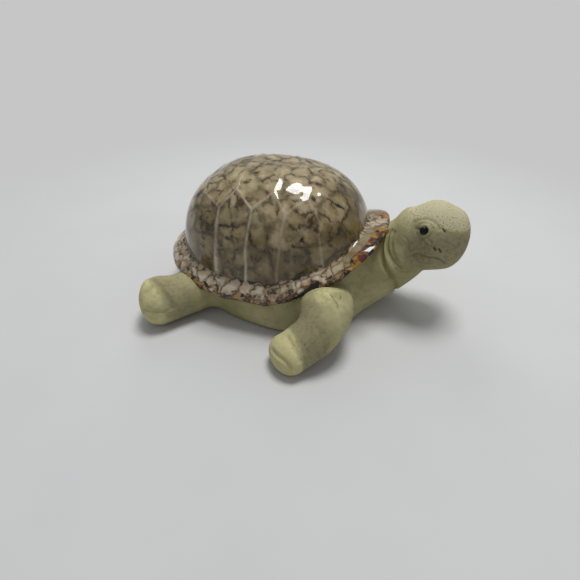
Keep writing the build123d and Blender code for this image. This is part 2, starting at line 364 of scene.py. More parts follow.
def seam_runs():
    """Start, end and the welt's marks at both of each straight run of the seams."""
    runs = []
    for number, (flank, crown) in enumerate(zip(flank_seams, crown_seams)):
        branch, stem = welt_branches[number], welt_stems[number]
        runs.append(((crown, crown_slope), (flank, flank_slope), branch, branch))
        runs.append(((flank, flank_slope), (flank + welt_drifts[number], seam_foot), branch, stem))
        runs.append(((crown, crown_slope), (crown * crown_spread, seam_top), branch, welt_crown))
        if number + 1 < len(crown_seams):
            ahead = welt_branches[number + 1]
            runs.append(((flank, flank_slope), (crown_seams[number + 1], crown_slope), branch, ahead))
    return runs


def seam_lines():
    """Polylines on the dome where the plates meet, both sides, with the welt's marks at each point."""
    lines = []
    shares = np.linspace(0, 1, seam_points)
    for (x0, s0), (x1, s1), first, last in seam_runs():
        line = np.array([on_dome(x0 + (x1 - x0) * t, s0 + (s1 - s0) * t) for t in shares])
        bends = [waver(line, seam_bend_size, shift) for shift in seam_bend_shifts]
        line += seam_bend * np.column_stack(bends + [np.zeros(len(line))])
        hurried = np.minimum(1, stem_hurry * shares)
        marks = np.array([np.array(first) * (1 - t) + np.array(last) * t for t in hurried])
        marks *= 1 + welt_swell * waver(line, welt_swell_size, welt_swell_shift)[:, None]
        line = np.hstack([line, marks])
        lines += [line, line * (1, -1, 1, 1, 1, 1)]
    return lines


def welt_marks(points, lines):
    """How far the nearest welt is, and how much it lifts and pales the glaze at each point."""
    gap = np.full(len(points), welt_far)
    lift, pale = np.zeros(len(points)), np.zeros(len(points))
    for line in lines:
        low, high = line[:, :3].min(0) - welt_reach, line[:, :3].max(0) + welt_reach
        near = np.flatnonzero(np.all((points > low) & (points < high), axis=1))
        for a, b in zip(line, line[1:]):
            along = (b - a)[:3]
            share = np.clip((points[near] - a[:3]) @ along / (along @ along + 1e-9), 0, 1)
            spot = a + share[:, None] * (b - a)
            off = np.linalg.norm(points[near] - spot[:, :3], axis=1)
            rise = bell(off, spot[:, 3])
            gap[near] = np.minimum(gap[near], off)
            lift[near] = np.maximum(lift[near], spot[:, 4] * rise)
            pale[near] = np.maximum(pale[near], spot[:, 5] * rise)
    return gap, lift, pale


# Clay's form
limb_steps, limb_blend, limb_power = 7, 4.0, 2.3
limb_start, limb_near, limb_block = 10, 9, 60000


class Limb:
    """Elliptical limb along a smooth line, closed by a rounded tip."""

    def __init__(self, rows, tip, mirrored=False):
        rows = smooth_rows(rows, limb_steps)
        if mirrored:
            rows = rows * (1, -1, 1, 1, 1)
        self.centres, self.sizes, self.tip = rows[:, :3], rows[:, 3:], tip
        along = np.gradient(self.centres, axis=0)
        self.along = along / np.linalg.norm(along, axis=1, keepdims=True)
        across = np.cross(self.along, (0, 0, 1))
        self.across = across / np.linalg.norm(across, axis=1, keepdims=True)
        steps = np.linalg.norm(np.diff(self.centres, axis=0), axis=1)
        self.lengths = np.concatenate([[0], np.cumsum(steps)])
        self.low = (self.centres - self.sizes.max(1, keepdims=True)).min(0)
        self.high = (self.centres + self.sizes.max(1, keepdims=True)).max(0)

    def field(self, points):
        """Distance to the limb, rough beyond its box."""
        away = np.linalg.norm(np.maximum(0, np.maximum(self.low - points, points - self.high)), axis=1)
        result = away + 1.0
        near = np.flatnonzero(away < limb_near)
        for part in np.array_split(near, len(near) // limb_block + 1):
            if len(part):
                result[part] = self.exact(points[part])
        return result

    def exact(self, points):
        """Distance measured across the line, from a soft choice of the nearest place on it."""
        gaps = ((points**2).sum(1)[:, None] - 2 * points @ self.centres.T) + (self.centres**2).sum(1)
        weights = np.exp((gaps.min(1, keepdims=True) - gaps) / limb_blend**2)
        reach = weights @ self.lengths / weights.sum(1)
        for _ in range(3):
            spot = np.interp(reach, self.lengths, np.arange(len(self.lengths)))
            first = np.minimum(spot.astype(int), len(self.lengths) - 2)
            part = (spot - first)[:, None]
            centre, along, across, size = (
                values[first] * (1 - part) + values[first + 1] * part
                for values in (self.centres, self.along, self.across, self.sizes)
            )
            off = points - centre
            s = np.einsum("ij,ij->i", off, along)
            reach = np.clip(reach + 0.5 * s, 0, self.lengths[-1])
        u = np.einsum("ij,ij->i", off, across)
        v = np.einsum("ij,ij->i", off, np.cross(across, along))
        radius = np.hypot(u, v) + 1e-6
        share = np.sqrt((u / size[:, 0]) ** 2 + (v / size[:, 1]) ** 2) + 1e-6
        wall = radius / share
        past = np.maximum(0, reach + np.maximum(0, s) - (self.lengths[-1] - self.tip)) / self.tip
        past = np.maximum(past, np.maximum(0, -s) / limb_start)
        round_share = (share**limb_power + past**limb_power) ** (1 / limb_power)
        scale = (share * wall + past * self.tip) / (share + past)
        return (round_share - 1) * scale


body_rows = smooth_rows(body_levels, 8)


def body_side(points, inset):
    """Rough distance out from the body's side, drawn in by an inset."""
    x, y, z = points.T
    level = z / body_top
    edge = np.interp(level, body_rows[:, 0], body_rows[:, 1]) * body_edge
    widening = np.interp(level, body_rows[:, 0], body_rows[:, 2])
    half_length = body_half_length - edge - inset
    half_width = body_half_width - edge - inset
    y = y / (1 + widening * np.clip(x / half_length, -1, 1.4))
    radius = np.hypot(x, y) + 1e-6
    power = body_plan_power
    share = (np.abs(x / half_length) ** power + np.abs(y / half_width) ** power) ** (1 / power)
    return radius - radius / (share + 1e-9)


neck_limb = Limb(head_rows[: skull_from + 1], neck_tip)
head_limb = Limb([skull_row] + head_rows[skull_from:], head_tip)
front_limbs = [Limb(front_rows, front_tip), Limb(front_rows, front_tip, True)]
rear_limbs = [Limb(rear_rows, rear_tip), Limb(rear_rows, rear_tip, True)]
tail_limb = Limb(tail_rows, tail_tip)


def parts_of(points):
    """Field of each clay piece before they are joined."""
    return {
        "body": np.maximum(body_side(points, 0), points[:, 2] - joint_height(points[:, 0])),
        "head_and_neck": smooth_min(neck_limb.field(points), head_limb.field(points), skull_melt),
        "front_right_leg": front_limbs[0].field(points),
        "front_left_leg": front_limbs[1].field(points),
        "rear_right_leg": rear_limbs[0].field(points),
        "rear_left_leg": rear_limbs[1].field(points),
        "tail": tail_limb.field(points),
    }


def joined(parts):
    """All clay as one soft form."""
    form = parts["body"]
    for name, reach in limb_melts.items():
        form = smooth_min(form, parts[name], reach)
    return form


def strike(u, v):
    """Point where the camera's ray through a pixel meets the clay."""
    ray = camera_ray(u, v)
    far, farthest = 150.0, 500
    for _ in range(120):
        point = (camera_place + far * ray)[None]
        step = joined(parts_of(point))[0]
        far += 0.7 * step
        if abs(step) < 0.01 or far > farthest:
            break
    return camera_place + far * ray


# Strokes in the clay, each traced on the photograph: depth, half width, darkness and pixels
# The darkness is painted shade in the grooves and folds; on the cracks it is their own dark.
mouth_line = [(413, 255), (418, 254), (425, 256.5), (431, 257.5), (438, 258.5), (444, 263)]
traced_strokes = {
    "mouth": (1.3, 0.75, 0.50, mouth_line),
    "mouth_corner": (0.6, 0.7, 0.7, [(436, 258), (438, 258.7), (440, 259.8)]),
    "cheek_nick_left": (0.5, 0.45, 0.7, [(408.5, 248), (411, 251), (414, 248.5)]),
    "cheek_nick_middle": (0.6, 0.5, 0.85, [(434, 248), (435.5, 250)]),
    "cheek_nick_right": (0.7, 0.5, 0.85, [(439, 249), (441, 252)]),
    "cheek_line_back": (0.3, 0.5, 0.35, [(404, 236), (409, 242)]),
    "cheek_line_middle": (0.35, 0.5, 0.35, [(423, 240), (428, 246)]),
    "cheek_line_front": (0.35, 0.5, 0.35, [(427, 238), (432, 243)]),
    "brow": (0.6, 0.9, 0.25, [(414, 222), (422, 219.5), (430, 220), (436, 224), (440, 229)]),
    "brow_end": (0.5, 0.5, 0.8, [(443, 229), (445, 232)]),
    "eye_corner": (0.9, 0.8, 0.7, [(416, 228.3), (418.5, 229)]),
    "front_toe": (1.7, 1.1, 0.30, [(272, 350), (277, 355.5), (283, 360), (288, 365), (290, 368)]),
    "front_cap": (0.9, 1.3, 0.15, [(287, 337), (292, 346), (297, 354), (300, 361)]),
    "front_crack": (0.6, 0.5, 0.8, [(330.5, 294), (334.5, 299.5), (337.5, 304), (338, 308)]),
    "front_crack_short": (0.5, 0.45, 0.7, [(341, 295), (340.5, 299)]),
    "rear_toe": (1.9, 1.0, 0.30, [(144, 309.5), (150, 311.5), (157, 312.5), (165, 312)]),
    "rear_fold": (2.3, 1.7, 0.18, [(150, 280), (157, 284), (163, 291), (168, 299), (172, 308)]),
    "throat_wrinkle": (0.4, 0.6, 0.3, [(390, 275), (397, 278), (406, 279)]),
    "throat_wrinkle_high": (0.4, 0.6, 0.3, [(395, 268.5), (401, 272), (409, 272.5)]),
}
# Folds that ring the neck, traced the same way, and the rolls that swell between them
back_fold = [(387, 232.5), (383.9, 237), (381.7, 248), (382, 257), (385, 267), (389.4, 274), (396, 283)]
middle_fold = [(391, 230.5), (387.7, 238), (387.5, 248), (390.6, 256), (395, 262.5), (401, 268)]
# Their darkness too is painted shade in the folds.
neck_folds = {
    "back": (2.4, 1.1, 0.55, back_fold),
    "middle": (2.2, 1.0, 0.55, middle_fold),
    "front": (1.5, 0.9, 0.45, [(394, 232), (391.5, 240), (392, 250), (395, 257), (399, 262.5)]),
    "back_roll": (-0.9, 1.2, 0, [(386, 236), (384.4, 247), (386, 258), (390, 266), (396, 274)]),
    "middle_roll": (-0.6, 1.0, 0, [(391, 236), (389.5, 246), (392, 255), (397, 262)]),
}
throat_shares, throat_lead, throat_depth, throat_step, throat_spots = (0.35, 0.7, 1.0), 1.5, 25, 0.4, 80
stroke_steps, stroke_reach = 4, 3.5


def under_throat(start):
    """Points that carry a fold on from its end to the middle of the throat."""
    x, y, z = start
    climb = throat_step * np.arange(throat_spots)
    run = []
    for share in throat_shares:
        here = (x + throat_lead * share, y * (1 - share))
        spots = np.column_stack([np.full(throat_spots, place) for place in here] + [z - throat_depth + climb])
        inside = np.flatnonzero(joined(parts_of(spots)) < 0)
        run.append(spots[inside[0]] if len(inside) else spots[-1])
    return run


def clay_strokes():
    """Depth, half width, darkness and line of every stroke, on both sides; the darkness is painted shade in
    the groove, or a crack's own dark.
    """
    made = []
    for name, (depth, width, crease_shade_and_cracks, pixels) in (traced_strokes | neck_folds).items():
        points = [strike(u, v) for u, v in pixels]
        if name == "back":
            points += under_throat(points[-1])
        line = smooth_rows(points, stroke_steps)
        made += [(depth, width, crease_shade_and_cracks, line), (depth, width, crease_shade_and_cracks, line * (1, -1, 1))]
    return made


strokes = clay_strokes()

# Ring of clay around the eye and the hollow around that: height, distance and half width
eye_ring, eye_hollow = (0.30, 3.3, 0.6), (0.30, 4.6, 0.9)
socket_gap, socket_seat = 0.25, 0.3
# Unevenness of the clay: height, size and shift
clay_lumps = [(0.35, 17, 0), (0.10, 5.5, 50)]
# Under its neighbours a piece sinks below their skin, and ends this far in.
piece_sink, piece_overlap, shell_gap = 0.07, 4, 0.15


def stroke_depths(points):
    total = np.zeros(len(points))
    for depth, width, _, line in strokes:
        total += depth * bell(line_distance(points, line, stroke_reach * width), width)
    return total


def folded(points):
    """Points with the left side mirrored onto the side where y is positive."""
    return np.column_stack([points[:, 0], np.abs(points[:, 1]), points[:, 2]])


def gap_from(points, centre):
    """Distance from a place and from its mirror image, whichever is nearer."""
    return np.linalg.norm(folded(points) - centre, axis=1)


def socket_depth(points):
    """Positive inside the round sockets that the eyes stand in."""
    off = folded(points) - eye_place
    out = off @ (0, math.cos(eye_tilt), math.sin(eye_tilt))
    radius = np.sqrt(np.maximum(0, (off**2).sum(1) - out**2))
    return np.minimum(eye_radius + socket_gap - radius, out + socket_seat)


def carved(points, form):
    """The joined form with folds, strokes and hand-made unevenness."""
    form = form + stroke_depths(points)
    gap = gap_from(points, eye_place)
    for sign, (height, far, width) in ((-1, eye_ring), (1, eye_hollow)):
        form = form + sign * height * bell(gap - far, width)
    form = np.maximum(form, socket_depth(points))
    for height, size, shift in clay_lumps:
        form = form + height * waver(points, size, shift)
    return form


def piece_field(name):
    """Field of one clay piece: the whole form in its own ground, sinking just under its neighbours beyond."""

    def field(points):
        parts = parts_of(points)
        form = carved(points, joined(parts))
        others = np.min([value for key, value in parts.items() if key != name], axis=0)
        side = (parts[name] - others) / 2
        beyond = np.maximum(0, side)
        result = np.maximum(form + piece_sink * beyond**2, side - piece_overlap)
        result = np.maximum(result, -points[:, 2])
        hollow = np.maximum(body_side(points, body_wall), belly_thickness - points[:, 2])
        vent = np.hypot(points[:, 0] + vent_behind, points[:, 1]) - vent_radius
        vent = np.maximum(vent, points[:, 2] - 2 * belly_thickness)
        result = np.maximum(result, -np.minimum(hollow, vent))
        return np.maximum(result, -(shell_field(points) + shell_gap))

    return field


# Meshing
block, block_margin = 4, 2.5
slide_rounds, slide_probe, slide_least, slide_most = 3, 0.08, 0.2, 0.4


def main_part(points, faces):
    """The largest connected part of a mesh, without the specks that a field leaves at sharp edges."""
    labels = np.arange(len(points))
    while True:
        lower = labels.copy()
        np.minimum.at(lower, faces.ravel(), np.repeat(labels[faces].min(1), faces.shape[1]))
        lower = lower[lower]
        if np.array_equal(lower, labels):
            break
        labels = lower
    kept = labels == np.bincount(labels).argmax()
    numbers = np.cumsum(kept) - 1
    return points[kept], numbers[faces[kept[faces[:, 0]]]]


def field_values(field, low, high, cell):
    """Field on a grid in a box, exact near its zero level and rough, block by block, elsewhere."""
    blocks = np.ceil((high - low) / (block * cell)).astype(int)
    axes = [low[a] + cell * np.arange(block * blocks[a]) for a in range(3)]
    middle = (block - 1) / 2
    block_axes = [low[a] + cell * (block * np.arange(blocks[a]) + middle) for a in range(3)]
    centres = np.stack(np.meshgrid(*block_axes, indexing="ij"), -1).reshape(-1, 3)
    values = field(centres).reshape(blocks)
    for axis in range(3):
        values = np.repeat(values, block, axis)
    near = np.argwhere(np.abs(values) < block * cell + block_margin)
    values[tuple(near.T)] = field(np.column_stack([axes[a][near[:, a]] for a in range(3)]))
    values[values == 0] = 1e-6
    return values


def slide_to_level(field, points, cell):
    """Points moved along the field's slope onto its zero level."""
    for _ in range(slide_rounds):
        here = field(points)
        ahead = [field(points + slide_probe * np.eye(3)[a]) - here for a in range(3)]
        slope = np.column_stack(ahead) / slide_probe
        size = np.maximum((slope**2).sum(1), slide_least)
        move = -(here / size)[:, None] * slope
        long = np.linalg.norm(move, axis=1, keepdims=True)
        points = points + move * np.minimum(1, slide_most * cell / np.maximum(long, 1e-9))
    return points


def level_mesh(field, low, high, cell):
    """Closed quad mesh of a field's zero level, inside a box: one point a cell that the level crosses."""
    low, high = np.array(low, float), np.array(high, float)
    values = field_values(field, low, high, cell)
    cells = np.array(values.shape) - 1
    ids, sums, quads = [], [], []
    for axis in range(3):
        ahead = np.moveaxis(values, axis, 0)
        lower, upper = np.moveaxis(ahead[:-1], 0, axis), np.moveaxis(ahead[1:], 0, axis)
        spot = np.argwhere((lower < 0) != (upper < 0))
        b, c = (axis + 1) % 3, (axis + 2) % 3
        keep = (spot[:, b] > 0) & (spot[:, c] > 0) & (spot[:, b] < cells[b]) & (spot[:, c] < cells[c])
        spot = spot[keep]
        start, end = lower[tuple(spot.T)], upper[tuple(spot.T)]
        cross = spot.astype(float)
        cross[:, axis] += start / (start - end)
        ring = []
        for step_b, step_c in ((0, 0), (-1, 0), (-1, -1), (0, -1)):
            near = spot.copy()
            near[:, b] += step_b
            near[:, c] += step_c
            ring.append((near[:, 0] * cells[1] + near[:, 1]) * cells[2] + near[:, 2])
            sums.append(cross)
        ids += ring
        ring = np.column_stack(ring)
        quads.append(np.where((start < 0)[:, None], ring, ring[:, ::-1]))
    ids, sums, quads = np.concatenate(ids), np.vstack(sums), np.vstack(quads)
    unique, where = np.unique(ids, return_inverse=True)
    share = np.bincount(where)
    points = np.column_stack([np.bincount(where, sums[:, a]) / share for a in range(3)]) * cell + low
    return main_part(slide_to_level(field, points, cell), np.searchsorted(unique, quads))


def make_piece(name, points, faces, material, node):
    """Mesh object in metres that stands for a solid part."""
    mesh = bpy.data.meshes.new(name)
    mesh.vertices.add(len(points))
    mesh.vertices.foreach_set("co", (points * METRES).astype(np.float32).ravel())
    mesh.loops.add(faces.size)
    mesh.loops.foreach_set("vertex_index", faces.astype(np.int32).ravel())
    mesh.polygons.add(len(faces))
    mesh.polygons.foreach_set("loop_start", np.arange(0, faces.size, faces.shape[1], dtype=np.int32))
    mesh.polygons.foreach_set("use_smooth", np.full(len(faces), True))
    mesh.update(calc_edges=True)
    mesh.validate()
    mesh.materials.append(material)
    piece = bpy.data.objects.new(name, mesh)
    bpy.context.scene.collection.objects.link(piece)
    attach(piece, "root")
    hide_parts(node)
    return piece


def store(piece, name, values):
    """Values kept on a piece's vertices for its material."""
    attribute = piece.data.attributes.new(name, "FLOAT", "POINT")
    attribute.data.foreach_set("value", np.asarray(values, np.float32))


# Materials
def srgb(red, green, blue):
    """Colour typed as it looks on screen, in the shader's linear numbers."""
    def linear(value):
        value /= 255
        return value / 12.92 if value <= 0.04045 else ((value + 0.055) / 1.055) ** 2.4

    return (linear(red), linear(green), linear(blue), 1.0)


class Nodes:
    """Short calls for building one material's nodes. Sizes are in millimetres."""

    first_colour, second_colour, mixed_colour = 6, 7, 2

    def __init__(self, name):
        self.material = bpy.data.materials.new(name)
        self.material.use_nodes = True
        self.tree = self.material.node_tree
        self.shader = self.tree.nodes["Principled BSDF"]
        metres = self.node("ShaderNodeTexCoord", {}, "Object")
        self.place = self.vector("MULTIPLY", metres, (1 / METRES,) * 3)

    def node(self, kind, sockets, output=0, **settings):
        """Output of a new node, whose sockets get values or links."""
        made = self.tree.nodes.new(kind)
        for key, value in settings.items():
            setattr(made, key, value)
        for key, value in sockets.items():
            self.put(made.inputs[key], value)
        return made.outputs[output]

    def put(self, socket, value):
        if isinstance(value, bpy.types.NodeSocket):
            self.tree.links.new(value, socket)
        else:
            socket.default_value = value

    def surface(self, sockets):
        """Values or links for the shader's own sockets."""
        for name, value in sockets.items():
            self.put(self.shader.inputs[name], value)

    def vector(self, operation, *values):
        return self.node("ShaderNodeVectorMath", dict(enumerate(values)), operation=operation)

    def shifted(self, place, shift, amount):
        """Place moved by a colour or vector less a half, times an amount."""
        away = self.vector("SUBTRACT", shift, (0.5, 0.5, 0.5))
        return self.vector("MULTIPLY_ADD", away, (amount, amount, amount), place)

    def noise(self, size, detail=2.0, rough=0.5, place=None, colour=False):
        """Noise with lumps of about a size."""
        sockets = {"Scale": 1 / size, "Detail": detail, "Roughness": rough}
        sockets["Vector"] = self.place if place is None else place
        return self.node("ShaderNodeTexNoise", sockets, "Color" if colour else "Fac")

    def cells(self, size, place):
        """Distance from the edges between cells of about a size."""
        sockets = {"Vector": place, "Scale": 1 / size}
        return self.node("ShaderNodeTexVoronoi", sockets, "Distance", feature="DISTANCE_TO_EDGE")

    def maths(self, operation, a, b=0.0, clamp=False):
        return self.node("ShaderNodeMath", {0: a, 1: b}, operation=operation, use_clamp=clamp)

    def times(self, a, b, clamp=False):
        return self.maths("MULTIPLY", a, b, clamp)

    def plus(self, a, b):
        return self.maths("ADD", a, b)

    def step(self, value, start, end, low=0.0, high=1.0):
        """Value run smoothly from low at start to high at end."""
        sockets = {"Value": value, "From Min": start, "From Max": end, "To Min": low, "To Max": high}
        return self.node("ShaderNodeMapRange", sockets, "Result", interpolation_type="SMOOTHSTEP")

    def patches(self, size, start, end, low=0.0, high=1.0, detail=2.0, rough=0.5, place=None):
        """Noise with lumps of about a size, run smoothly from low to high between two of its levels."""
        return self.step(self.noise(size, detail, rough, place), start, end, low, high)

    def frayed(self, value, size, least, most, detail=2.0, rough=0.5):
        """Value with a noise added, so that the edges it draws are uneven."""
        return self.plus(value, self.patches(size, 0.3, 0.7, least, most, detail, rough))

    def mix(self, share, first, second):
        sockets = {"Factor": share, self.first_colour: first, self.second_colour: second}
        return self.node("ShaderNodeMix", sockets, self.mixed_colour, data_type="RGBA")

    def value(self, name):
        """Number stored on the mesh."""
        return self.node("ShaderNodeAttribute", {}, "Fac", attribute_name=name)

    def bump(self, height, strength, distance):
        sockets = {"Height": height, "Strength": strength, "Distance": distance * METRES}
        return self.node("ShaderNodeBump", sockets, "Normal")


def clay_material():
    """Matt clay: mottled, with warm caps, a cream crown and specks; a grey tone with painted shade on the
    shins, rear legs and cheeks; painted shade in the creases, where the cracks are dark of their own.
    """
    n = Nodes("bisque_clay")
    pale, green, yellow = srgb(184, 178, 137), srgb(162, 156, 113), srgb(202, 194, 144)
    dull, cream_tone, grey_shade_tone = srgb(144, 137, 97), srgb(194, 187, 154), srgb(148, 141, 110)
    smudge_tone, moss = srgb(112, 106, 78), srgb(108, 102, 62)
    brown, rust = srgb(66, 58, 36), srgb(176, 132, 74)
    colour = n.mix(n.patches(24, 0.38, 0.62, detail=3), green, pale)
    colour = n.mix(n.patches(5, 0.42, 0.70, 0, 0.45, detail=4, rough=0.6), colour, dull)
    warm = n.frayed(n.value("warm"), 4.5, -0.30, 0.30, detail=4, rough=0.6)
    colour = n.mix(n.step(warm, 0.30, 0.95, 0, 0.9), colour, yellow)
    cream = n.frayed(n.value("cream"), 3.0, -0.35, 0.35, detail=4, rough=0.65)
    colour = n.mix(n.step(cream, 0.30, 0.80, 0, 0.9), colour, cream_tone)
    # Painted shade with some real grey: darkens the front shins, the rear legs between body and cap, and the
    # cheeks. The dark smudges lie only there.
    colour = n.mix(n.step(n.value("grey_and_shade"), 0, 1, 0, 0.75), colour, grey_shade_tone)
    smudge = n.times(n.value("grey_and_shade"), n.patches(2.6, 0.45, 0.62, 0, 0.45, detail=4, rough=0.65))
    colour = n.mix(smudge, colour, smudge_tone)
    grains = n.patches(0.9, 0.56, 0.64, detail=3, rough=0.7)
    share = n.plus(n.value("specks"), n.times(n.patches(6, 0.42, 0.62), 0.20))
    colour = n.mix(n.times(grains, share, True), colour, moss)
    elsewhere = n.shifted(n.place, (9.0, 3.0, 5.0), 1)
    colour = n.mix(n.patches(1.1, 0.68, 0.74, 0, 0.7, place=elsewhere), colour, brown)
    # Painted shade in the grooves, folds and round the eyes, with the cracks' own dark: moss, and brown where
    # deepest.
    for tone, start, end in ((moss, 0.1, 1), (brown, 0.6, 1.2)):
        colour = n.mix(n.step(n.value("crease_shade_and_cracks"), start, end, 0, 0.9), colour, tone)
    colour = n.mix(n.step(n.value("stain"), 0, 1, 0, 0.6), colour, rust)
    grit = n.plus(n.noise(0.7, 3, 0.65), n.times(n.noise(2.6, 3, 0.6), 1.4))
    n.surface({"Base Color": colour, "Roughness": 0.86, "Specular IOR Level": 0.25})
    n.surface({"Normal": n.bump(grit, 0.5, 0.35)})
    return n.material


glaze_smoke, glaze_brown, glaze_black = srgb(74, 58, 26), srgb(44, 29, 15), srgb(22, 15, 11)


def dome_glaze(n, bent):
    """Dome: pale clouds parted by smoky veins, which darken towards the crease, and pale welts."""
    cloud, shade, olive = srgb(180, 164, 126), srgb(142, 124, 82), srgb(112, 96, 48)
    high_cloud, low_brown = srgb(190, 177, 144), srgb(92, 74, 34)
    amber_tone, welt_tone = srgb(134, 92, 46), srgb(196, 184, 162)
    edge = n.cells(10, n.vector("MULTIPLY", bent, (1, 1, 0.74)))
    colour = n.mix(n.patches(7, 0.38, 0.62, detail=3), cloud, shade)
    colour = n.mix(n.patches(19, 0.44, 0.62, 0, 0.75), colour, olive)
    low = n.step(n.value("drop"), -46, -3)
    colour = n.mix(n.step(low, 0, 0.5, 0.35, 0), colour, high_cloud)
    depth = n.plus(n.patches(8, 0.34, 0.66, 0.15, 0.85, detail=3), n.times(low, 0.4))
    wash = n.times(n.step(edge, 0.0, 0.36, 1, 0), depth)
    colour = n.mix(n.times(wash, 0.85, True), colour, glaze_smoke)
    vein = n.times(n.step(edge, 0.0, 0.13, 1, 0), n.patches(6.5, 0.44, 0.60))
    colour = n.mix(n.times(vein, 0.85), colour, glaze_brown)
    blot = n.times(n.step(edge, 0.02, 0.22, 1, 0), n.patches(4.6, 0.53, 0.63, detail=3, rough=0.6))
    colour = n.mix(n.times(blot, n.step(low, 0, 0.6, 0.5, 1)), colour, glaze_black)
    colour = n.mix(n.step(low, 0.4, 1.0, 0, 0.42), colour, low_brown)
    amber = n.times(n.step(n.value("seam"), 0.8, 4.5, 1, 0), n.patches(5.5, 0.54, 0.66))
    colour = n.mix(n.times(amber, 0.5), colour, amber_tone)
    welt = n.times(n.value("welt"), n.patches(4, 0.3, 0.62, 0.45, 1.2, detail=3), True)
    return n.mix(welt, colour, welt_tone)


def rust_glaze(n, bent):
    """Lip: amber scallops with brown edges and black blots."""
    colour = n.mix(n.patches(7, 0.42, 0.58), srgb(172, 136, 84), srgb(122, 80, 40))
    colour = n.mix(n.step(n.cells(6.5, bent), 0.0, 0.14, 1, 0), colour, glaze_brown)
    elsewhere = n.shifted(n.place, (4.0, 8.0, 6.0), 2)
    return n.mix(n.patches(6, 0.54, 0.60, place=elsewhere), colour, glaze_black)


def flame_glaze(n):
    """Lip near the neck: amber and deep red with black blots."""
    colour = n.mix(n.patches(4.5, 0.42, 0.60, detail=3), srgb(156, 114, 40), srgb(88, 36, 16))
    elsewhere = n.shifted(n.place, (2.0, 9.0, 1.0), 2)
    return n.mix(n.patches(6, 0.52, 0.62, place=elsewhere), colour, glaze_black)


def rim_glaze(n, bent):
    """Rim: cream patches outlined in brown, olive in front, rust along the lip and flame by the neck."""
    cream, tan, olive, umber = srgb(206, 194, 172), srgb(180, 160, 132), srgb(138, 127, 94), srgb(116, 92, 56)
    front = n.value("front")
    ring = n.cells(8.0, bent)
    colour = n.mix(n.patches(5, 0.36, 0.62, detail=3), cream, tan)
    colour = n.mix(front, colour, olive)
    colour = n.mix(n.step(ring, 0.0, 0.20, 0.75, 0), colour, umber)
    outline = n.times(n.step(ring, 0.0, 0.05, 1, 0), n.patches(5, 0.4, 0.55))
    colour = n.mix(n.times(outline, n.step(front, 0, 1, 1, 0.25)), colour, glaze_brown)
    near_lip = n.frayed(n.value("lip"), 6, -2.4, 2.4)
    colour = n.mix(n.step(near_lip, 7.0, 5.6), colour, rust_glaze(n, bent))
    border = n.maths("ABSOLUTE", n.plus(near_lip, -6.6))
    dashes = n.times(n.step(border, 0.3, 1.2, 0.8, 0), n.patches(4, 0.42, 0.56))
    colour = n.mix(dashes, colour, glaze_brown)
    blaze = n.frayed(n.value("blaze"), 3.5, -0.3, 0.3)
    return n.mix(n.step(blaze, 0.35, 0.6), colour, flame_glaze(n))


def glaze_material():
    """Glossy mottled glaze: dome and rim meet at the crease, along which black blots run."""
    n = Nodes("mottled_glaze")
    bent = n.shifted(n.place, n.noise(12, colour=True), 11)
    bent = n.shifted(bent, n.noise(3.4, 3, 0.55, colour=True), 4.2)
    drop = n.value("drop")
    on_rim = n.step(n.frayed(drop, 5, -1.2, 1.2), -0.8, 1.0)
    colour = n.mix(on_rim, dome_glaze(n, bent), rim_glaze(n, bent))
    crease = n.maths("ABSOLUTE", n.frayed(drop, 5, -1.5, 2.0))
    blots = n.times(n.step(crease, 0.3, 2.0, 1, 0), n.patches(4.2, 0.48, 0.58))
    colour = n.mix(n.times(blots, 0.85), colour, glaze_black)
    swell = n.bump(n.noise(11, 1), 0.15, 0.5)
    n.surface({"Base Color": colour, "Roughness": 0.40, "Specular IOR Level": 0.1, "Normal": swell})
    n.surface({"Coat Weight": 1.0, "Coat Roughness": 0.04, "Coat IOR": 1.5, "Coat Normal": swell})
    return n.material


def bead_material():
    """Black glazed bead."""
    n = Nodes("eye_glaze")
    colour = n.mix(n.noise(0.8), srgb(8, 6, 6), srgb(18, 14, 12))
    n.surface({"Base Color": colour, "Roughness": 0.22, "Specular IOR Level": 0.3})
    n.surface({"Normal": n.bump(n.noise(0.7, 1), 0.1, 0.1)})
    return n.material


# Shell piece
# Relief of the glaze: the hollow beside a welt by depth, distance and half width, then lumps by height,
# size and shift, all over and on the rim alone
welt_hollow = (0.20, 3.4, 2.0)
skin_lumps = [(0.24, 15, 0), (0.05, 6, 30)]
rim_lumps = [(0.45, 7, 70)]
lining_rows, lining_step = 14, 0.5
# Values that the glaze finds inside the shell
inside_marks = {"seam": 30, "welt": 0, "drop": 13, "lip": 0, "blaze": 0, "front": 0}


def lumps(points, layers):
    """Sum of smooth noises: height, size and shift of each."""
    return sum(height * waver(points, size, shift) for height, size, shift in layers)


def shell_skin():
    """Outer skin by column and row, the distance from the nearest welt, and how pale each welt is."""
    x = shell_out * np.cos(shell_angles)[:, None]
    y = shell_out * np.sin(shell_angles)[:, None]
    skin = np.stack([x, y, shell_up], -1)
    along = np.gradient(skin, axis=1)
    around = np.roll(skin, -1, 0) - np.roll(skin, 1, 0)
    normal = np.cross(along, around)
    normal /= np.maximum(np.linalg.norm(normal, axis=2, keepdims=True), 1e-9)
    normal[:, 0] = (0, 0, 1)
    flat, shape = skin.reshape(-1, 3), skin.shape[:2]
    gap, welt, pale = (marks.reshape(shape) for marks in welt_marks(flat, seam_lines()))
    above_crease = fade(-shell_drop, -2.5, 0.5)
    depth, beside, width = welt_hollow
    lift = (welt - depth * bell(gap - beside, width)) * above_crease
    lift += lumps(flat, skin_lumps).reshape(shape)
    lift += lumps(flat, rim_lumps).reshape(shape) * fade(shell_drop, 0.5, 4)
    skin = skin + normal * lift[:, :, None]
    skin[:, 0] = skin[:, 0].mean(0)
    return skin, gap, pale * above_crease


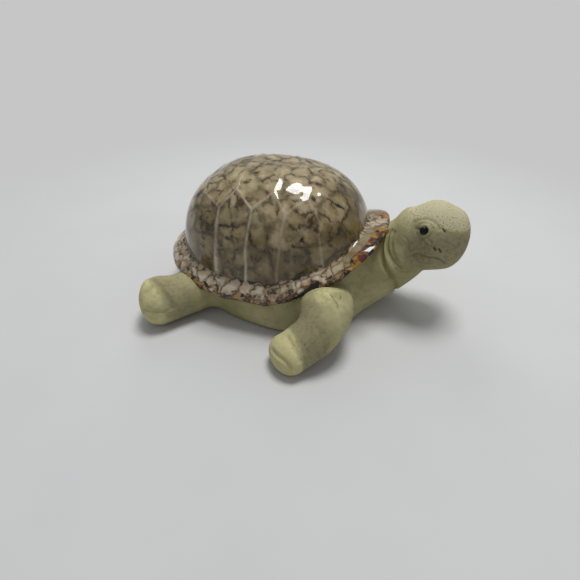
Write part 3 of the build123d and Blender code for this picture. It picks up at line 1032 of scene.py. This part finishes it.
def shell_lining(toes):
    """Underside and inner wall by column, from halfway in under the toe to the inner crown."""
    climb = np.sin(np.linspace(0, math.pi / 2, lining_rows)) ** (2 / dome_profile_power)
    shares = (1 - np.minimum(climb, 1) ** dome_profile_power) ** (1 / dome_profile_power)
    columns = []
    for angle, toe in zip(shell_angles, toes):
        wall = plan_radius(angle, dome_half_length - shell_wall, dome_half_width - shell_wall)
        base = float(joint_height(wall * math.cos(angle)))
        heights = np.maximum(dome_waist + (dome_rise - shell_wall) * climb, base + lining_step)
        half = (math.hypot(toe[0], toe[1]) + wall) / 2
        out = np.concatenate([[half, wall], wall * shares])
        up = np.concatenate([[(toe[2] + base) / 2, base], heights])
        columns.append(np.column_stack([out * math.cos(angle), out * math.sin(angle), up]))
    return np.array(columns)


def column_mesh(columns):
    """Points and quads of a closed mesh, from columns that meet in one point at each end."""
    first, last = columns[0, 0], columns[:, -1].mean(0)
    between = columns[:, 1:-1]
    count = between.shape[1]
    points = np.vstack([first, between.reshape(-1, 3), last])
    starts = 1 + count * np.arange(len(columns))
    down = np.arange(count - 1)
    here, there = starts[:, None] + down, np.roll(starts, -1)[:, None] + down
    sides = np.stack([here, here + 1, there + 1, there], -1).reshape(-1, 4)
    # The fans at both ends are quads too, so that the mesh has one face size.
    left, middle, right = starts[::2], starts[1::2], np.roll(starts, -2)[::2]
    top = np.column_stack([np.zeros(len(left), int), left, middle, right])
    end, foot = np.full(len(left), len(points) - 1), count - 1
    low = np.column_stack([end, right + foot, middle + foot, left + foot])
    return points, np.vstack([sides, top, low])


def make_shell(material):
    """Carapace: skin with raised welts, and the hollow's wall inside, as one closed mesh."""
    skin, gap, pale = shell_skin()
    lining = shell_lining(skin[:, -1])
    points, faces = column_mesh(np.concatenate([skin, lining], axis=1))
    piece = make_piece("shell", points, faces, material, "carapace")
    lip = shell_drop[:, -1:] - shell_drop
    angle = np.degrees(from_front(shell_angles))[:, None]
    blaze = fade(angle, 2, 9) * fade(angle, 38, 31) * fade(lip, 11.5, 8.5)
    front = fade(angle, 48, 30) * fade(shell_drop, 0, 2) * (0.35 + 0.65 * fade(angle, 3, 12))
    marks = {"seam": gap, "welt": pale, "drop": shell_drop, "lip": lip, "blaze": blaze, "front": front}
    for name, values in marks.items():
        hidden = np.full((shell_columns, lining.shape[1] - 1), float(inside_marks[name]))
        outside = np.hstack([values[:, 1:], hidden]).ravel()
        store(piece, name, np.concatenate([[values[0, 0]], outside, [inside_marks[name]]]))


# Clay pieces
# Where the cream of the crown ends: height at a place along the head, slope, and fall from another place
crown_height, crown_at, crown_tilt, crown_fall, crown_fall_from = 66.3, 82, 0.10, 0.0035, 100
# The front toes and the heels point this way in x and out, and the clay changes along it.
toe_way, heel_way = (-0.78, 0.62), (-0.8, 1.0)
elbow_place, elbow_reach = (45, 57, 35), 11
stain_place, stain_reach = (-62.0, 57.0, 8.0), 4.5
# Painted shade of a stroke's groove, or a crack's own dark: its strength, and the half width of its floor and
# of its slopes as shares
stroke_dark, stroke_floor, stroke_slope, stroke_dark_reach = 1.3, 0.6, 0.7, 3
eye_shadow, eye_shadow_at, eye_shadow_width = 0.35, 4.3, 1.0

# Pieces: solid part, lower and upper corner of the box it is meshed in, and the mesh's cell
clay_pieces = {
    "clay_body": ("body", (-70, -70, -3), (74, 70, 58), 1.0),
    "clay_head": ("head_and_neck", (44, -38, -4), (124, 38, 80), 0.55),
    "clay_front_right": ("front_right_leg", (6, -96, -3), (66, -24, 46), 0.6),
    "clay_rear_right": ("rear_right_leg", (-88, -88, -3), (-22, -22, 36), 0.6),
    "clay_tail": ("tail", (-84, -16, -2), (-50, 16, 30), 0.6),
}


def head_marks(piece, points):
    """Cream crown, cheeks that take painted shade, and the speckled band between them."""
    x, _, z = points.T
    ahead = np.maximum(0, x - crown_fall_from)
    above = z - (crown_height - crown_tilt * (x - crown_at) - crown_fall * ahead**2)
    # The cheeks, below the crown, are where shade is painted on the head.
    crown = fade(above, -2.5, 2.5) * fade(x, 78, 84)
    cheek = fade(above, 1, -4) * fade(x, 80, 90) * fade(z, 30, 42)
    band = bell(above - 1.5, 3.2) * fade(x, 80, 86)
    store(piece, "cream", crown)
    store(piece, "specks", 0.9 * band + 0.35 * crown + 0.2 * cheek)
    return cheek


def leg_marks(piece, points):
    """Warm caps of the feet and the elbows, and painted shade with some grey on the front shins and the rear
    legs.
    """
    x, out, _ = folded(points).T
    toe = toe_way[1] * out + toe_way[0] * x
    heel = heel_way[1] * out + heel_way[0] * x
    warm = 0.8 * bell(gap_from(points, elbow_place), elbow_reach)
    grey_and_shade = np.zeros(len(points))
    if "front" in piece.name:
        warm = np.maximum(warm, fade(toe, 22, 24.5) * fade(x, 50, 44))
        # Painted shade on the shin, which faces down and away from the light.
        grey_and_shade = 0.9 * fade(toe, 4, 11) * fade(toe, 23, 21.5) * fade(out, 56, 66)
    if "rear" in piece.name:
        warm = np.maximum(warm, 0.8 * fade(heel, 108, 116))
        # Painted shade on the rear leg between body and cap.
        grey_and_shade = 0.7 * fade(heel, 84, 92) * fade(heel, 116, 106)
    return warm, grey_and_shade


def stroke_marks(points):
    """Painted shade in the strokes' grooves and in the hollows around the eyes, and the cracks' own dark."""
    crease_shade_and_cracks = eye_shadow * bell(gap_from(points, eye_place) - eye_shadow_at, eye_shadow_width)
    for _, width, strength, line in strokes:
        gap = line_distance(points, line, stroke_dark_reach * width)
        beside = np.maximum(0, gap - stroke_floor * width)
        crease_shade_and_cracks = np.maximum(crease_shade_and_cracks, stroke_dark * strength * bell(beside, stroke_slope * width))
    return crease_shade_and_cracks


def clay_marks(piece, points):
    """Where the clay is warm, speckled or stained, where shade is painted on it, and where its cracks are
    dark.
    """
    cheek = head_marks(piece, points)
    warm, grey_and_shade = leg_marks(piece, points)
    store(piece, "warm", warm)
    store(piece, "grey_and_shade", np.maximum(cheek, grey_and_shade))
    store(piece, "crease_shade_and_cracks", stroke_marks(points))
    store(piece, "stain", bell(gap_from(points, stain_place), stain_reach))


def make_clay(material):
    """Clay pieces; the left legs are the right ones mirrored."""
    for title, (node, low, high, cell) in clay_pieces.items():
        points, faces = level_mesh(piece_field(node), low, high, cell)
        clay_marks(make_piece(title, points, faces, material, node), points)
        if "right" in title:
            points = points * (1, -1, 1)
            title, node = title.replace("right", "left"), node.replace("right", "left")
            clay_marks(make_piece(title, points, faces[:, ::-1], material, node), points)


def dress_eyes(material):
    """Material for the two beads, which stay as they are."""
    for node in ("left_eye", "right_eye"):
        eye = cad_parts[node]
        if not eye.material_slots:
            eye.data.materials.append(material)
        for slot in eye.material_slots:
            slot.material = material


# Floor and light, in metres
floor_half_side, floor_sink = 60.0, 0.0002
lamp_aim = (0, 0, 0.03)
# How far from the figurine the floor turns plain, in millimetres
plain_from, plain_to = 170, 420
sky_strength = 0.42


def floor_material():
    """Pale floor. Away from the figurine the camera and reflections see its plain colour, evenly lit."""
    n = Nodes("pale_floor")
    pale = n.mix(n.noise(60, 3), srgb(203, 203, 203), srgb(210, 210, 209))
    n.surface({"Base Color": pale, "Roughness": 0.9})
    far = n.node("ShaderNodeVectorMath", {0: n.place}, "Value", operation="LENGTH")
    seen = n.tree.nodes.new("ShaderNodeLightPath").outputs
    direct = n.maths("MAXIMUM", seen["Is Camera Ray"], seen["Is Glossy Ray"])
    direct = n.maths("MAXIMUM", direct, seen["Is Transmission Ray"])
    share = n.times(n.step(far, plain_from, plain_to), direct)
    glow = n.node("ShaderNodeEmission", {"Color": srgb(198, 198, 198)})
    blend = n.node("ShaderNodeMixShader", {"Fac": share, 1: n.shader.outputs[0], 2: glow})
    n.put(n.tree.nodes["Material Output"].inputs["Surface"], blend)
    return n.material


def make_floor():
    side = floor_half_side
    mesh = bpy.data.meshes.new("floor")
    corners = [(-side, -side, 0), (side, -side, 0), (side, side, 0), (-side, side, 0)]
    mesh.from_pydata(corners, [], [(0, 1, 2, 3)])
    mesh.materials.append(floor_material())
    floor = bpy.data.objects.new("floor", mesh)
    floor.location.z = -floor_sink
    bpy.context.scene.collection.objects.link(floor)


def make_sky():
    world = bpy.data.worlds.new("world")
    world.use_nodes = True
    background = world.node_tree.nodes["Background"]
    background.inputs["Color"].default_value = srgb(216, 218, 222)
    background.inputs["Strength"].default_value = sky_strength
    bpy.context.scene.world = world
    bpy.context.scene.view_settings.view_transform = "Standard"


def area_light(name, place, size, power):
    """Square lamp that faces the figurine. Its place and size are in metres."""
    data = bpy.data.lights.new(name, "AREA")
    data.energy = power
    data.shape = "RECTANGLE"
    data.size, data.size_y = size, size
    light = bpy.data.objects.new(name, data)
    light.rotation_mode = "QUATERNION"
    light.rotation_quaternion = (Vector(place) - Vector(lamp_aim)).to_track_quat("Z", "Y")
    light.location = place
    bpy.context.scene.collection.objects.link(light)
    return light


place_camera()
make_floor()
make_sky()
area_light("overhead", (0.12, 0.26, 1.2), 0.45, 10)
area_light("from_behind", (-0.5, 1.1, 0.9), 0.8, 4).visible_glossy = False
make_shell(glaze_material())
make_clay(clay_material())
dress_eyes(bead_material())
